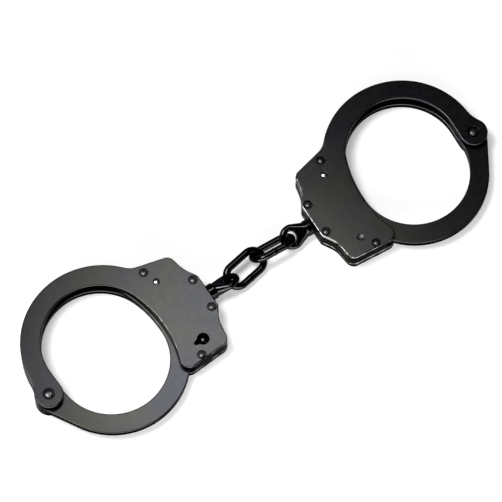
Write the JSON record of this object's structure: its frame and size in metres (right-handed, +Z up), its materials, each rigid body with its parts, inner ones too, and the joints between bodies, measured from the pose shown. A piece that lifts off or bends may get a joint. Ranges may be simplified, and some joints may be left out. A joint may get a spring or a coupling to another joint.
{
  "type": "handcuffs",
  "caption": "Chain-linked steel handcuffs in satin black: two plate-built cuffs, each with a swinging toothed strand, pawl and double lock, joined by a swivelling chain",
  "frame": {"origin": "middle of the bounding box, on the surface the handcuffs lie on", "axes": "+X runs along the chain from the left cuff to the right cuff; +Y runs across the cuffs towards their double strands; +Z is up, off the table"},
  "size_m": [0.2392, 0.0794, 0.0109],
  "materials": {
    "blued_steel": "satin black oxide on nickel steel",
    "dark_chain": "glossier black oxide on forged steel",
    "bare_steel": "plain ground steel inside the lock"
  },
  "bodies": {
    "left_frame": {"left_keyed_plate": "blued_steel", "left_blank_plate": "blued_steel", "left_upper_spacer": "blued_steel", "left_lower_spacer": "blued_steel", "left_pivot_rivet": "blued_steel", "left_case_rivets": "blued_steel", "left_case_dowel": "bare_steel", "left_key_post": "bare_steel", "left_pawl_pin": "bare_steel", "left_lock_bar_spring": "bare_steel"},
    "left_strand": {"left_single_strand": "blued_steel"},
    "left_pawl": {"left_pawl": "bare_steel", "left_pawl_spring": "bare_steel"},
    "left_lock_bar": {"left_lock_bar": "bare_steel"},
    "left_swivel": {"left_swivel": "dark_chain"},
    "chain_link_1": {"chain_link_1": "dark_chain"},
    "chain_link_2": {"chain_link_2": "dark_chain"},
    "right_swivel": {"right_swivel": "dark_chain"},
    "right_frame": {"right_keyed_plate": "blued_steel", "right_blank_plate": "blued_steel", "right_upper_spacer": "blued_steel", "right_lower_spacer": "blued_steel", "right_pivot_rivet": "blued_steel", "right_case_rivets": "blued_steel", "right_case_dowel": "bare_steel", "right_key_post": "bare_steel", "right_pawl_pin": "bare_steel", "right_lock_bar_spring": "bare_steel"},
    "right_strand": {"right_single_strand": "blued_steel"},
    "right_pawl": {"right_pawl": "bare_steel", "right_pawl_spring": "bare_steel"},
    "right_lock_bar": {"right_lock_bar": "bare_steel"}
  },
  "joints": [
    {"name": "left_strand_pivot", "type": "hinge", "parent": "left_frame", "child": "left_strand", "pos_m": [-0.11312, -0.00434, 0.00545], "axis": [0, 0, 1], "continuous": true},
    {"name": "left_pawl_pivot", "type": "hinge", "parent": "left_frame", "child": "left_pawl", "pos_m": [-0.04212, 0.00766, 0.00545], "axis": [0, 0, 1], "range_deg": [0, 5], "stiffness_Nm_per_rad": 0.03, "springref_deg": -5.73},
    {"name": "left_double_lock", "type": "slide", "parent": "left_frame", "child": "left_lock_bar", "axis": [0, 1, 0], "range_m": [-0.0022, 0], "deforming": ["left_lock_bar_spring"]},
    {"name": "left_swivel_spin", "type": "hinge", "parent": "left_frame", "child": "left_swivel", "pos_m": [-0.02812, -0.00234, 0.00545], "axis": [1, 0, 0], "continuous": true},
    {"name": "link_1_on_left_eye", "type": "hinge", "parent": "left_swivel", "child": "chain_link_1", "pos_m": [-0.01322, -0.0023, 0.00545], "axis": [-0.0312, 0.357, -0.9336], "range_deg": [-45, 45]},
    {"name": "link_2_on_link_1", "type": "hinge", "parent": "chain_link_1", "child": "chain_link_2", "pos_m": [0.00234, 0.00043, 0.00545], "axis": [-0.0441, 0.7418, 0.6691], "range_deg": [-45, 45]},
    {"name": "right_eye_on_link_2", "type": "hinge", "parent": "chain_link_2", "child": "right_swivel", "pos_m": [0.01372, -0.00025, 0.00545], "axis": [0.0313, 0.7425, 0.6691], "range_deg": [-45, 45]},
    {"name": "right_swivel_spin", "type": "hinge", "parent": "right_swivel", "child": "right_frame", "pos_m": [0.02821, -0.00067, 0.00545], "axis": [-0.9996, 0.0284, 0], "continuous": true},
    {"name": "right_strand_pivot", "type": "hinge", "parent": "right_frame", "child": "right_strand", "pos_m": [0.11312, -0.00508, 0.00545], "axis": [0, 0, -1], "continuous": true},
    {"name": "right_pawl_pivot", "type": "hinge", "parent": "right_frame", "child": "right_pawl", "pos_m": [0.04249, 0.00893, 0.00545], "axis": [0, 0, -1], "range_deg": [0, 5], "stiffness_Nm_per_rad": 0.03, "springref_deg": -5.73},
    {"name": "right_double_lock", "type": "slide", "parent": "right_frame", "child": "right_lock_bar", "axis": [0.0284, 0.9996, 0], "range_m": [-0.0022, 0], "deforming": ["right_lock_bar_spring"]}
  ]
}
